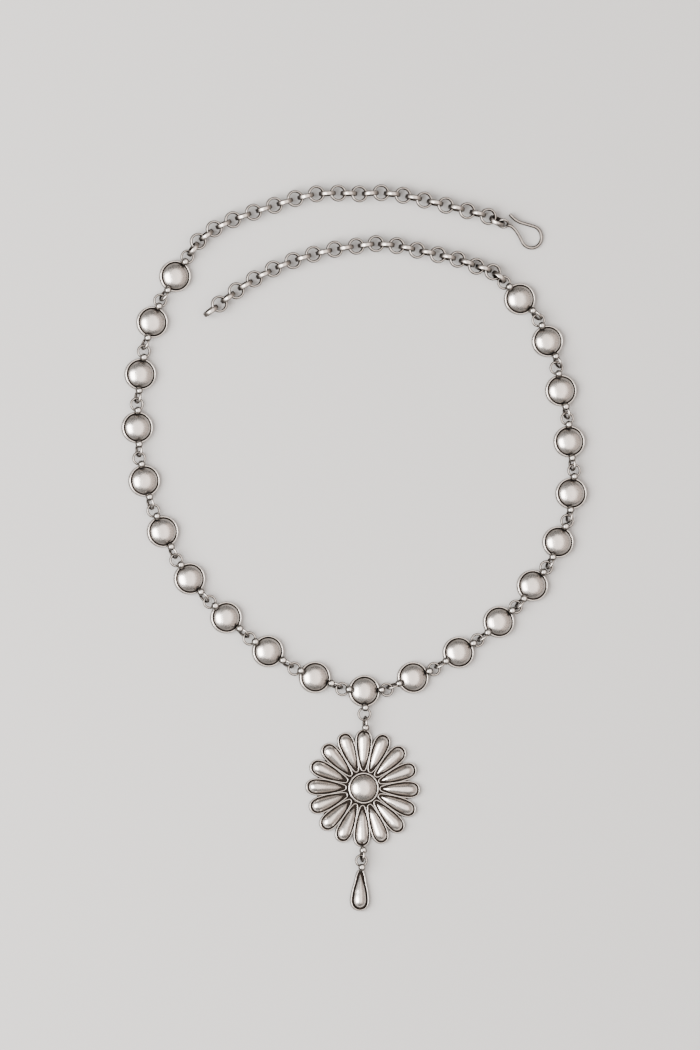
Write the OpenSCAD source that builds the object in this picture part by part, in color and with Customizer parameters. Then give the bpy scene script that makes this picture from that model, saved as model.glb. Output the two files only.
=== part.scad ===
// Flower necklace of antiqued silver, laid flat and unfastened.
// The origin is the middle of the centre dome's flat back, on the surface that the necklace lies on.
// +Y runs from the pendant towards the chains, +Z up from the surface.

/* [Dome links] */
// Outer diameter of the bezel
bezel_d = 10; // [9.7:0.1:10.1]
// Height of the bezel's wall, without its rim wire
bezel_h = 1.9; // [1.7:0.05:2]
// Diameter of the round wire along the bezel's rim
rim_wire = 0.55; // [0.5:0.05:0.6]
// Diameter of the domed cap at the groove
cap_d = 8.7; // [8.4:0.1:8.7]
// Height of the cap's top above the surface
cap_top = 3.9; // [3.7:0.1:4.2]

/* [Soldered rings] */
// Diameter of the rings' wire
ring_wire = 0.75; // [0.7:0.05:0.75]
// Radius of a ring's centreline
ring_r = 1.9; // [1.88:0.01:1.92]
// From a dome's centre to the centre of each of its rings
ring_reach = 7.3; // [7.28:0.01:7.32]
// Height of the centre of a ring that lies flat
flat_ring_z = 1.85; // [1.8:0.05:1.9]
// Lean of the upright rings
ring_lean = 12; // [8:1:14]
// Diameter of a solder ball
ball_d = 2.4; // [2.2:0.1:2.4]
// From a dome's centre to the centre of each of its balls
ball_reach = 5.35; // [5.3:0.05:5.4]

/* [Flower] */
// Number of petals
petals = 16; // [16]
// From the flower's centre to the petals' tips
flower_r = 18.62; // [18.58:0.01:18.64]
// Radius of the plate behind the petals
plate_r = 14.9; // [14:0.1:15]
// Thickness of the plate and of the petals' base
plate_h = 0.9; // [0.8:0.05:1]
// Height of the petals' rims
petal_rim_h = 1.55; // [1.4:0.05:1.7]
// Width of the rims
petal_rim = 0.38; // [0.36:0.02:0.4]

/* [Drop] */
// Length of the drop's body
drop_l = 13.2; // [12.5:0.1:14]
// Greatest width of the body
drop_w = 5.8; // [5.4:0.1:6]

/* [Chains] */
// Outer diameter of a chain link
link_d = 5.4; // [5.38:0.01:5.42]
// Thickness of a link's band, across the link
link_t = 0.8; // [0.76:0.02:0.8]
// Width of a link's band, along the link's axis
link_w = 1.45; // [1.35:0.05:1.45]

/* [Hook] */
// Diameter of the hook's wire
hook_wire = 1.05; // [0.95:0.05:1.05]
// Radius of the hook's main bend, to the middle of the wire
hook_bend = 3.5; // [3.4:0.05:3.6]

/* [Hidden] */
$fn = 48;
silver = "#b9b2a8";

// How the necklace lies. Headings are in degrees from +X, and the left side's are mirrored.
// A row for each step from one dome to the next, outward from the centre, then the way the chain leaves.
// [heading, distance between centres]
right_domes = [
    [15.7, 16.6], [28.8, 17], [36.8, 16.5], [46.5, 16.1], [59, 16.3],
    [74.4, 16.1], [92.2, 16.5], [99.5, 16.4], [105.8, 16.2], [124.5, 16.1], [147, 0]
];
left_domes = [
    [14.4, 16.6], [27.7, 17.3], [37.6, 17.2], [45.5, 17], [59.3, 17.15],
    [69.4, 17.1], [82.3, 17], [93.3, 16.9], [103.1, 17], [117, 16.5], [127, 0]
];
// A row for each stretch of chain, from the last dome's ring outward
// [links, heading, distance between centres]
right_links = [
    [1, 139.6, 2.54], [1, 141, 2.57], [1, 161.6, 3.22], [1, 163.8, 2.47], [2, 161, 3.25],
    [2, 168.3, 3.27], [2, 169, 3.5], [2, 169, 3.4], [2, 175.5, 3.4], [2, 188, 3.27], [2, 189, 3.57],
    [2, 193.7, 3.58], [2, 198, 3.5], [2, 203, 3.5], [2, 208, 3.5], [2, 213, 3.5], [3, 218, 3.5]
];
left_links = [
    [2, 56, 2.95], [2, 38, 3.3], [2, 26.2, 3.4], [2, 20.4, 3.58], [4, 18.6, 3.6], [2, 13, 3.55],
    [2, 3.1, 3.58], [2, -1, 3.45], [2, 4, 3.58], [2, -5.6, 3.6], [2, -11.2, 3.55], [2, -12.4, 3.6],
    [2, -13, 3.6], [2, -13.5, 3.56], [1, -26, 3.2]
];
// The way that each chain's last link leads on, and how it is rolled: 90 stands upright
right_leave = 218;
right_last_roll = 90;
left_leave = -22;
left_last_roll = 116;
// Headings of the centre dome's three flat rings
centre_rings = [4, 176, 270];

// The place of the flower's centre, its turn on the surface, and where its rings and balls are soldered
flower_at = [-0.3, -30.78];
flower_turn = -1.2;
flower_ring_reach = [20.68, 21.3];
flower_ball_reach = [19.14, 19.8];
// Its centre dome: bezel diameter, wall height, cap diameter, cap height
flower_dome = [9.9, 2.15, 8.7, 4.3];

// A petal's outline and its dome, each with a round end of this radius, sides and a tip
petal_end_r = 2.52;
petal_tip_x = 6.3;
petal_tip_r = 1;
petal_dome_r = 2;
petal_dome_back = 2.77;
petal_dome_tip = 6.5;
// Sides of the petals' and the drop's outlines and domes, from the broad end: [x, half width]
petal_side = [[13.1, 2.62], [8.5, 1.73]];
petal_dome_side = [[13.2, 1.98], [11.7, 1.76], [10.1, 1.46], [8.5, 1.06]];
drop_side = [[7.3, 2.68], [4.4, 1.98]];
drop_dome_side = [[7.3, 1.9], [4.4, 1.2]];

// The place of the drop's ring from the flower's centre, and the drop's turn
drop_at = [-0.7, -22.97];
drop_turn = 268.2;
drop_ring_r = 1.7;
// From the ring's centre to the drop's body, and its ball: [reach, height, radius]
drop_reach = 2.7;
drop_ball = [2.2, 2.85, 1.15];
drop_rim_h = 1.75;
drop_tip_r = 1.05;
drop_dome_tip = 1;
drop_dome_inset = 0.8;
// Height and length of the solder behind the ring
drop_lug_z = 1.45;
drop_lug_l = 2;

// The middle of the hook's eye, the hook's heading and how far it dips towards the bend
hook_at = [45.4, 149.1, 2.3];
hook_heading = 2;
hook_dip = 7.2;
// The eye's ring, rolled round the line from its middle to the wire
eye_r = 1.52;
eye_axis = -24;
eye_roll = 46;
eye_wire = 0.84;
// The hook's wire leaves the eye at this angle, a row for each stretch:
// [length, turn, share of the wire's radius that is left at its end]
hook_start = 4;
hook_run = [
    [1.6, -40, 1], [2.25, -20, 1], [3.59, -10, 1], [hook_bend * 230 * PI / 180, 230, 1],
    [4.4, 0, 1], [3.6, -32, 0.95], [0.7, 0, 0.76]
];
hook_sides = 16;
hook_step = 9;

// A hair's breadth that keeps two surfaces from meeting exactly, and an overlap that joins two solids
hair = 0.005;
overlap = 0.05;
// Width and depth of the groove round a cap, and how far a bezel's wall stands in from its rim wire
groove_w = 0.12;
groove_depth = 0.5;
wall_inset = 0.08;

upright_ring_z = ring_r + ring_wire / 2 + hair;
ball_z = 3.05;
solder_r = 0.45;
// How far the solder reaches into a bezel and into a petal's rim
bezel_root = 0.6;
petal_root = 0.45;

// Where a table of [heading, distance] rows leads after its first n rows
function along(rows, n) = n == 0
    ? [0, 0]
    : along(rows, n - 1) + rows[n - 1][1] * [cos(rows[n - 1][0]), sin(rows[n - 1][0])];

// The axis of the nth dome halves the angle between the steps on both sides of it
function dome_axis(rows, n) = (rows[n - 1][0] + rows[n][0]) / 2;

// One [heading, distance] row for each link
function link_steps(rows) = [for (row = rows) for (k = [1 : row[0]]) [row[1], row[2]]];

// Node names end in two digits
function two_digits(n) = str(n < 10 ? "0" : "", n);

// Half outline of a dome in its bezel: base with wall, rim wire, groove and cap
module dome_profile(outer_d, wall_h, inner_d, top) {
    wall_r = outer_d / 2 - wall_inset;
    wire_r = rim_wire / 2;
    cap_r = inner_d / 2;
    groove_r = cap_r + groove_w;
    groove_z = wall_h - groove_depth;
    square([wall_r, groove_z]);
    translate([groove_r, 0])
        square([wall_r - groove_r, wall_h]);
    translate([outer_d / 2 - wire_r, wall_h])
        circle(wire_r);
    intersection() {
        translate([0, groove_z])
            scale([1, (top - groove_z) / cap_r])
                circle(cap_r, $fn = 96);
        square([wall_r, top + 1]);
    }
}

module dome_body(outer_d, wall_h, inner_d, top) {
    rotate_extrude($fn = 96)
        dome_profile(outer_d, wall_h, inner_d, top);
}

// A ring of round wire around Z
module wire_ring(r, wire_r) {
    rotate_extrude()
        translate([r, 0])
            circle(wire_r);
}

// What is soldered on at the end of +X: a ring, a ball on top of the joint, and solder under the ball.
// The ring lies flat with roll 0 and stands upright with roll 90.
module soldered_end(roll, reach, ball_at, inner_at) {
    translate([reach, 0, roll == 0 ? flat_ring_z : upright_ring_z])
        rotate([roll, 0, 0])
            wire_ring(ring_r, ring_wire / 2);
    translate([ball_at, 0, ball_z])
        sphere(ball_d / 2);
    translate([inner_at, 0, flat_ring_z])
        rotate([0, 90, 0])
            cylinder(r = solder_r, h = reach - ring_r - inner_at);
}

module dome_end(roll) {
    soldered_end(roll, ring_reach, ball_reach, bezel_d / 2 - bezel_root);
}

// A dome link with its axis along X: flat ring outward, upright ring towards the centre
module dome_link() {
    dome_body(bezel_d, bezel_h, cap_d, cap_top);
    dome_end(0);
    rotate([0, 0, 180])
        dome_end(90 - ring_lean);
}

module centre_dome() {
    color(silver) {
        dome_body(bezel_d, bezel_h, cap_d, cap_top);
        for (heading = centre_rings)
            rotate([0, 0, heading])
                dome_end(0);
    }
}

module right_dome(n) {
    color(silver)
        translate(along(right_domes, n))
            rotate([0, 0, dome_axis(right_domes, n)])
                dome_link();
}

module left_dome(n) {
    place = along(left_domes, n);
    color(silver)
        translate([-place[0], place[1]])
            rotate([0, 0, 180 - dome_axis(left_domes, n)])
                dome_link();
}

// Outline of a petal or drop along +X: round broad end, [x, half width] rows down the side, round tip
module teardrop(end_x, end_r, side, tip_x, tip_r) {
    polygon(concat(
        [for (a = [-75 : 15 : 75]) [end_x + end_r * cos(a), end_r * sin(a)]],
        side,
        [for (a = [105 : 30 : 255]) [tip_x + tip_r * cos(a), tip_r * sin(a)]],
        [for (k = [len(side) - 1 : -1 : 0]) [side[k][0], -side[k][1]]]
    ));
}

// Half of a turned teardrop, lying along X on its flat side
module half_teardrop(end_x, end_r, side, tip_x) {
    rotate([90, 0, 90])
        rotate_extrude(angle = 180)
            polygon(concat(
                [for (a = [0 : 15 : 75]) [end_r * sin(a), end_x + end_r * cos(a)]],
                [for (row = side) [row[1], row[0]]],
                [[0, tip_x]]
            ));
}

// Rows down a side, drawn in by the given amount
function inset_side(side, inset) = [for (row = side) [row[0], row[1] - inset]];

// A petal's outline, drawn in by the given amount
module petal_outline(inset) {
    teardrop(
        flower_r - petal_end_r, petal_end_r - inset, inset_side(petal_side, inset),
        petal_tip_x, petal_tip_r - inset
    );
}

module petal_rim_wall() {
    linear_extrude(petal_rim_h)
        difference() {
            petal_outline(0);
            petal_outline(petal_rim);
        }
}

module petal_dome() {
    translate([0, 0, plate_h - overlap])
        half_teardrop(flower_r - petal_dome_back, petal_dome_r, petal_dome_side, petal_dome_tip);
}

module each_petal() {
    for (k = [0 : petals - 1])
        rotate([0, 0, 360 / petals * k])
            children();
}

module flower_pendant() {
    color(silver)
        translate(flower_at)
            rotate([0, 0, flower_turn]) {
                linear_extrude(plate_h) {
                    circle(plate_r, $fn = 96);
                    each_petal()
                        petal_outline(0);
                }
                each_petal()
                    petal_rim_wall();
                each_petal()
                    petal_dome();
                dome_body(flower_dome[0], flower_dome[1], flower_dome[2], flower_dome[3]);
                for (side = [0, 1])
                    rotate([0, 0, 90 + 180 * side])
                        soldered_end(
                            90, flower_ring_reach[side], flower_ball_reach[side], flower_r - petal_root
                        );
            }
}

module drop_outline(inset) {
    end_r = drop_w / 2;
    teardrop(
        drop_l - end_r, end_r - inset, inset_side(drop_side, inset), drop_tip_r, drop_tip_r - inset
    );
}

module drop_body() {
    end_r = drop_w / 2;
    linear_extrude(plate_h)
        drop_outline(0);
    linear_extrude(drop_rim_h)
        difference() {
            drop_outline(0);
            drop_outline(petal_rim);
        }
    translate([0, 0, plate_h - overlap])
        half_teardrop(drop_l - end_r, end_r - drop_dome_inset, drop_dome_side, drop_dome_tip);
}

module drop() {
    color(silver)
        translate(flower_at + drop_at)
            rotate([0, 0, drop_turn]) {
                translate([drop_reach, 0, 0])
                    drop_body();
                translate([0, 0, flat_ring_z])
                    wire_ring(drop_ring_r, ring_wire / 2);
                translate([drop_ball[0], 0, drop_ball[1]])
                    sphere(drop_ball[2]);
                translate([drop_ring_r, 0, drop_lug_z])
                    rotate([0, 90, 0])
                        cylinder(r = solder_r, h = drop_lug_l);
            }
}

// A band link around Z, its section round at both edges
module band_link() {
    centre_r = (link_d - link_t) / 2;
    rotate_extrude()
        translate([centre_r, 0]) {
            square([link_t, link_w - link_t], center = true);
            for (side = [-1, 1])
                translate([0, side * (link_w - link_t) / 2])
                    circle(link_t / 2);
        }
}

// Links along a table of steps, standing and lying by turns. The last one has its own roll and leads on
// to the given heading.
module links(start, steps, leave, last_roll) {
    count = len(steps);
    for (k = [1 : count]) {
        next = k < count ? steps[k][0] : leave;
        roll = k == count ? last_roll : k % 2 == 1 ? 90 : 0;
        place = start + along(steps, k);
        translate([place[0], place[1], link_d / 2])
            rotate([0, 0, (steps[k - 1][0] + next) / 2])
                rotate([roll, 0, 0])
                    band_link();
    }
}

// The centre of the outer ring of a side's last dome, on the right
function last_ring(rows) =
    let (last = len(rows) - 1, axis = dome_axis(rows, last))
    along(rows, last) + ring_reach * [cos(axis), sin(axis)];

module right_chain() {
    color(silver)
        links(last_ring(right_domes), link_steps(right_links), right_leave, right_last_roll);
}

module left_chain() {
    ring_at = last_ring(left_domes);
    color(silver)
        links([-ring_at[0], ring_at[1]], link_steps(left_links), left_leave, left_last_roll);
}

// How far apart the ends of an arc are
function chord(length, turn) = turn == 0 ? length : 360 / PI * length / turn * sin(turn / 2);

// Points along a table of [length, turn, radius] rows, as [x, y, heading, radius]
function wire_path(rows, at, row = 0) =
    row == len(rows)
    ? [at]
    : let (
        length = rows[row][0],
        turn = rows[row][1],
        n = max(1, ceil(abs(turn) / hook_step)),
        stops = [for (k = [0 : n])
            let (f = k / n, way = at[2] + turn * f / 2, far = chord(length * f, turn * f))
            [at[0] + far * cos(way), at[1] + far * sin(way), at[2] + turn * f,
                at[3] + (rows[row][2] - at[3]) * f]]
    )
    concat([for (k = [0 : n - 1]) stops[k]], wire_path(rows, stops[n], row + 1));

// Round wire along such points
module bent_wire(path, wire_r) {
    sides = hook_sides;
    last = (len(path) - 1) * sides;
    polyhedron(
        [for (p = path) for (k = [0 : sides - 1])
            let (across = wire_r * p[3] * cos(360 / sides * k), up = wire_r * p[3] * sin(360 / sides * k))
            [p[0] - across * sin(p[2]), p[1] + across * cos(p[2]), up]],
        concat(
            [[for (k = [0 : sides - 1]) k]],
            [for (j = [0 : sides : last - 1]) for (k = [0 : sides - 1])
                let (n = (k + 1) % sides)
                for (f = [[j + k, j + k + sides, j + n + sides], [j + k, j + n + sides, j + n]]) f],
            [[for (k = [sides - 1 : -1 : 0]) last + k]]
        )
    );
}

module hook() {
    wire_r = hook_wire / 2;
    path = wire_path(hook_run, [0, 0, hook_start, 1]);
    tip = path[len(path) - 1];
    color(silver)
        translate(hook_at)
            rotate([0, hook_dip, hook_heading]) {
                rotate([0, 0, eye_axis])
                    rotate([eye_roll, 0, 0])
                        rotate_extrude($fn = 24)
                            translate([eye_r, 0])
                                circle(eye_wire / 2, $fn = hook_sides);
                translate(eye_r * [cos(eye_axis), sin(eye_axis), 0]) {
                    bent_wire(path, wire_r);
                    translate([tip[0], tip[1], 0])
                        sphere(wire_r * tip[3] - hair, $fn = hook_sides);
                }
            }
}

centre_dome();
for (n = [1 : 10]) {
    right_dome(n);
    left_dome(n);
}
flower_pendant();
drop();
right_chain();
left_chain();
hook();
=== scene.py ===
# Flower necklace of antiqued silver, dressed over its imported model
import bpy
import bmesh
import random
import numpy as np
from math import sin, cos, radians, pi, ceil
from mathutils import Vector, Matrix


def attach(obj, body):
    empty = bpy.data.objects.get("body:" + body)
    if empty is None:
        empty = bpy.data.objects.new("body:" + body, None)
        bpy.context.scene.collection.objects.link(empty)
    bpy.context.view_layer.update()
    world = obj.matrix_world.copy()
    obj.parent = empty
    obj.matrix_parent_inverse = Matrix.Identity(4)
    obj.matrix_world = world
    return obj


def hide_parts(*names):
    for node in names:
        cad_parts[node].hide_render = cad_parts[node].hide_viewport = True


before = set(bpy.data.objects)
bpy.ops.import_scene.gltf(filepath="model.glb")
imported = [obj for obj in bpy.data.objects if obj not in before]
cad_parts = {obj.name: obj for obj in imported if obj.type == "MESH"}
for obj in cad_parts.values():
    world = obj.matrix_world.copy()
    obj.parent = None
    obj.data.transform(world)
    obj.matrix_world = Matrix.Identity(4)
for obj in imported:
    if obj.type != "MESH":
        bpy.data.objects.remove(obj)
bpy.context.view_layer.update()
mm = 0.001
print("frame loaded:", len(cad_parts), "nodes")

# How the necklace lies, in mm and degrees, as in the model. Domes: heading and distance of each step outward
# from the centre, then the way the chain leaves; the left side is mirrored.
rightDomes = [(15.7, 16.6), (28.8, 17), (36.8, 16.5), (46.5, 16.1), (59, 16.3), (74.4, 16.1),
              (92.2, 16.5), (99.5, 16.4), (105.8, 16.2), (124.5, 16.1), (147, 0)]
leftDomes = [(14.4, 16.6), (27.7, 17.3), (37.6, 17.2), (45.5, 17), (59.3, 17.15), (69.4, 17.1),
             (82.3, 17), (93.3, 16.9), (103.1, 17), (117, 16.5), (127, 0)]
# Chains: number of links, heading and distance between centres, from the last dome's ring outward
rightLinks = [(1, 139.6, 2.54), (1, 141, 2.57), (1, 161.6, 3.22), (1, 163.8, 2.47), (2, 161, 3.25),
              (2, 168.3, 3.27), (2, 169, 3.5), (2, 169, 3.4), (2, 175.5, 3.4), (2, 188, 3.27), (2, 189, 3.57),
              (2, 193.7, 3.58), (2, 198, 3.5), (2, 203, 3.5), (2, 208, 3.5), (2, 213, 3.5), (3, 218, 3.5)]
leftLinks = [(2, 56, 2.95), (2, 38, 3.3), (2, 26.2, 3.4), (2, 20.4, 3.58), (4, 18.6, 3.6), (2, 13, 3.55),
             (2, 3.1, 3.58), (2, -1, 3.45), (2, 4, 3.58), (2, -5.6, 3.6), (2, -11.2, 3.55), (2, -12.4, 3.6),
             (2, -13, 3.6), (2, -13.5, 3.56), (1, -26, 3.2)]


def along(steps, count):
    place = np.zeros(2)
    for heading, far in steps[:count]:
        place += far * np.array([cos(radians(heading)), sin(radians(heading))])
    return place


def domeAxis(steps, n):
    return (steps[n - 1][0] + steps[n][0]) / 2


# Camera, in degrees and metres: leaning towards -X and dipping towards -Y, far off, its frame centred beside
# the necklace
view = {"lean": 14.5, "dip": 3.5, "far": 9, "clipEnd": 30, "frameHigh": 0.3323,
        "middle": (-0.00437, 0.05257), "aimHigh": 0.0012}


def setCamera(v):
    lean, dip = radians(v["lean"]), radians(v["dip"])
    right = Vector((cos(lean), 0, sin(lean)))
    back = Vector((-sin(lean) * cos(dip), -sin(dip), cos(lean) * cos(dip)))
    up = back.cross(right)
    camera = bpy.data.objects.new("camera", bpy.data.cameras.new("camera"))
    bpy.context.scene.collection.objects.link(camera)
    aim = Vector((0, 0, v["aimHigh"])) + right * v["middle"][0] + up * v["middle"][1]
    place = Matrix((right, up, back)).transposed().to_4x4()
    place.translation = aim + back * v["far"]
    camera.matrix_world = place
    camera.data.lens = camera.data.sensor_width * v["far"] / v["frameHigh"]
    camera.data.clip_end = v["clipEnd"]
    bpy.context.scene.camera = camera


# Lights: where each shines from, as bearing from +X and height in degrees, how far off, its width and height
lamps = {
    "windowLeft": {"shape": "RECTANGLE", "bearing": 189, "high": 42, "far": 1.6, "wide": 1.3, "tall": 1.3,
                   "watts": 100, "colour": (1, 0.99, 0.98)},
    "overhead": {"shape": "ELLIPSE", "bearing": 0, "high": 84, "far": 1.6, "wide": 2.5, "tall": 1.75,
                 "watts": 22, "colour": (1, 0.935, 0.89)},
    "wallRight": {"shape": "ELLIPSE", "bearing": 0, "high": 45, "far": 2, "wide": 3.6, "tall": 2.6,
                  "watts": 13, "colour": (1, 0.82, 0.73)},
}
lampAim = Vector((0, 0.045, 0))    # the middle of the necklace, where all lights point
worldLook = {"colour": (1, 0.985, 0.97), "strength": 0.21}


def setLamp(name, lamp):
    data = bpy.data.lights.new(name, "AREA")
    data.shape = lamp["shape"]
    data.size = lamp["wide"]
    data.size_y = lamp["tall"]
    data.energy = lamp["watts"]
    data.color = lamp["colour"]
    light = bpy.data.objects.new(name, data)
    bpy.context.scene.collection.objects.link(light)
    bearing, high = radians(lamp["bearing"]), radians(lamp["high"])
    way = Vector((cos(bearing) * cos(high), sin(bearing) * cos(high), sin(high)))
    light.location = lampAim + way * lamp["far"]
    light.rotation_euler = way.to_track_quat("Z", "Y").to_euler()
    light.visible_camera = False


def setWorld(look):
    world = bpy.data.worlds.new("studio")
    bpy.context.scene.world = world
    world.use_nodes = True
    background = world.node_tree.nodes["Background"]
    background.inputs["Color"].default_value = look["colour"] + (1,)
    background.inputs["Strength"].default_value = look["strength"]


def newMaterial(name):
    material = bpy.data.materials.new(name)
    material.use_nodes = True
    tree = material.node_tree
    return material, tree.nodes, tree.links.new, tree.nodes["Principled BSDF"]


def newGroup(name, inputs, outputs):
    group = bpy.data.node_groups.new(name, "ShaderNodeTree")
    for label, kind, value in inputs:
        group.interface.new_socket(label, in_out="INPUT", socket_type=kind).default_value = value
    for label, kind in outputs:
        group.interface.new_socket(label, in_out="OUTPUT", socket_type=kind)
    nodes = group.nodes
    given, out = nodes.new("NodeGroupInput").outputs, nodes.new("NodeGroupOutput").inputs
    return group, nodes, group.links.new, given, out


def maths(nodes, join, operation, first, second, clamp=False):
    node = nodes.new("ShaderNodeMath")
    node.operation = operation
    node.use_clamp = clamp
    for socket, value in zip(node.inputs, (first, second)):
        if isinstance(value, (int, float)):
            socket.default_value = value
        else:
            join(value, socket)
    return node.outputs[0]


def noise(nodes, join, place, scale, detail=2):
    node = nodes.new("ShaderNodeTexNoise")
    node.inputs["Detail"].default_value = detail
    join(place, node.inputs["Vector"])
    if isinstance(scale, (int, float)):
        node.inputs["Scale"].default_value = scale
    else:
        join(scale, node.inputs["Scale"])
    return node.outputs["Fac"]


def mixed(nodes, join, kind, factor, first, second):
    node = nodes.new("ShaderNodeMix")
    node.data_type = kind
    sockets = [s for s in node.inputs if s.enabled]
    join(factor, sockets[0])
    for socket, value in zip(sockets[1:], (first, second)):
        if isinstance(value, tuple):
            socket.default_value = value
        else:
            join(value, socket)
    return next(s for s in node.outputs if s.enabled)


# Blackened silver, from patina in the hollows and painted shade: how fast the metal turns black where it is
# dark, how much finer the spots are than the patches, how far both break up the dark's edge and the gloss,
# and how wide that edge is
patinaAndShadeLook = {"clean": (0.8, 0.77, 0.72), "warm": (0.72, 0.66, 0.6), "black": (0.024, 0.019, 0.016),
               "cleanRoughness": 0.25, "blackRoughness": 0.5, "patch": 300, "fall": 2.6, "spotsFiner": 6.3,
               "patchBy": 0.7, "spotBy": 0.35, "edge": 1.7, "roughnessBy": 0.2}


# The piece's own "dark" value, patina in its hollows and painted shade elsewhere, its edge broken up by
# noise, turns clean metal dull and black
def makePatinaAndShade(look):
    group, nodes, join, given, out = newGroup("patinaAndShade", [
        ("Clean", "NodeSocketColor", look["clean"] + (1,)),
        ("Warm", "NodeSocketColor", look["warm"] + (1,)),
        ("Black", "NodeSocketColor", look["black"] + (1,)),
        ("Clean roughness", "NodeSocketFloat", look["cleanRoughness"]),
        ("Black roughness", "NodeSocketFloat", look["blackRoughness"]),
        ("Patch scale", "NodeSocketFloat", look["patch"]),
        ("Fall", "NodeSocketFloat", look["fall"])],
        [("Colour", "NodeSocketColor"), ("Roughness", "NodeSocketFloat")])
    place = nodes.new("ShaderNodeTexCoord").outputs["Object"]
    depth = nodes.new("ShaderNodeAttribute")
    depth.attribute_name = "dark"
    darkness = depth.outputs["Fac"]
    patches = noise(nodes, join, place, given["Patch scale"], 4)
    spotScale = maths(nodes, join, "MULTIPLY", given["Patch scale"], look["spotsFiner"])
    spots = maths(nodes, join, "SUBTRACT", noise(nodes, join, place, spotScale, 3), 0.5)
    broad = maths(nodes, join, "MULTIPLY", maths(nodes, join, "SUBTRACT", patches, 0.5), look["patchBy"])
    uneven = maths(nodes, join, "ADD", broad, maths(nodes, join, "MULTIPLY", spots, look["spotBy"]))
    edge = maths(nodes, join, "MULTIPLY", darkness, maths(nodes, join, "SUBTRACT", look["edge"], darkness))
    mask = maths(nodes, join, "ADD", darkness, maths(nodes, join, "MULTIPLY", uneven, edge), True)
    metal = mixed(nodes, join, "RGBA", patches, given["Clean"], given["Warm"])
    left = maths(nodes, join, "POWER", maths(nodes, join, "SUBTRACT", 1, mask), given["Fall"])
    colour = mixed(nodes, join, "RGBA", left, given["Black"], metal)
    dull = mixed(nodes, join, "FLOAT", mask, given["Clean roughness"], given["Black roughness"])
    gloss = maths(nodes, join, "MULTIPLY", spots, look["roughnessBy"])
    join(colour, out["Colour"])
    join(maths(nodes, join, "ADD", dull, gloss), out["Roughness"])
    return group


# Scratches: headings of the three directions, how long and thin they are, where in the noise they begin
handLook = {"dent": 260, "scratch": 2500, "scratchDepth": 0.06, "headings": (20, 75, 140),
            "stretch": (1, 0.06, 0.3), "begin": 0.57, "sharp": 5}


# Hand finish: shallow dents left by the punch, and polishing scratches that cross each other
def makeHandFinish(look):
    group, nodes, join, given, out = newGroup("handFinish", [
        ("Dent scale", "NodeSocketFloat", look["dent"]),
        ("Scratch scale", "NodeSocketFloat", look["scratch"]),
        ("Scratch depth", "NodeSocketFloat", look["scratchDepth"])],
        [("Height", "NodeSocketFloat")])
    place = nodes.new("ShaderNodeTexCoord").outputs["Object"]
    dents = noise(nodes, join, place, given["Dent scale"], 1)
    marks = None
    for heading in look["headings"]:
        twist = nodes.new("ShaderNodeMapping")
        twist.inputs["Rotation"].default_value = (0, 0, radians(heading))
        twist.inputs["Scale"].default_value = look["stretch"]
        join(place, twist.inputs["Vector"])
        lines = noise(nodes, join, twist.outputs["Vector"], given["Scratch scale"])
        above = maths(nodes, join, "SUBTRACT", lines, look["begin"])
        line = maths(nodes, join, "MULTIPLY", above, look["sharp"], True)
        marks = line if marks is None else maths(nodes, join, "MAXIMUM", marks, line)
    cut = maths(nodes, join, "MULTIPLY", marks, given["Scratch depth"])
    join(maths(nodes, join, "SUBTRACT", dents, cut), out["Height"])
    return group


# Silver finishes: clean and warm colour, roughness of the clean metal, scale of its patches and dents, depth
# of the dents in metres
silvers = {
    "domeSilver": {"clean": (0.84, 0.795, 0.75), "warm": (0.73, 0.66, 0.605), "roughness": 0.27,
                   "patch": 330, "dent": 190, "depth": 0.00013},
    "wireSilver": {"clean": (0.72, 0.675, 0.63), "warm": (0.54, 0.48, 0.43), "roughness": 0.28,
                   "patch": 900, "dent": 900, "depth": 0.00004},
    "solderSilver": {"clean": (0.88, 0.85, 0.81), "warm": (0.78, 0.73, 0.68), "roughness": 0.2,
                     "patch": 800, "dent": 900, "depth": 0.0001},
    "petalSilver": {"clean": (0.83, 0.785, 0.74), "warm": (0.70, 0.63, 0.575), "roughness": 0.28,
                    "patch": 420, "dent": 330, "depth": 0.00009},
    "chainSilver": {"clean": (0.74, 0.69, 0.645), "warm": (0.54, 0.48, 0.43), "roughness": 0.3,
                    "patch": 600, "dent": 700, "depth": 0.00005},
}


def makeSilver(name, look, patinaAndShade, handFinish):
    material, nodes, join, shader = newMaterial(name)
    age = nodes.new("ShaderNodeGroup")
    age.node_tree = patinaAndShade
    age.inputs["Clean"].default_value = look["clean"] + (1,)
    age.inputs["Warm"].default_value = look["warm"] + (1,)
    age.inputs["Clean roughness"].default_value = look["roughness"]
    age.inputs["Patch scale"].default_value = look["patch"]
    hand = nodes.new("ShaderNodeGroup")
    hand.node_tree = handFinish
    hand.inputs["Dent scale"].default_value = look["dent"]
    bump = nodes.new("ShaderNodeBump")
    bump.inputs["Strength"].default_value = 1
    bump.inputs["Distance"].default_value = look["depth"]
    join(hand.outputs["Height"], bump.inputs["Height"])
    join(bump.outputs["Normal"], shader.inputs["Normal"])
    join(age.outputs["Colour"], shader.inputs["Base Color"])
    join(age.outputs["Roughness"], shader.inputs["Roughness"])
    shader.inputs["Metallic"].default_value = 1
    return material


floorLook = {"half": 3.0, "clean": (0.53, 0.518, 0.505), "patch": (0.505, 0.493, 0.48), "scale": 7,
             "roughness": 0.85}


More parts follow.
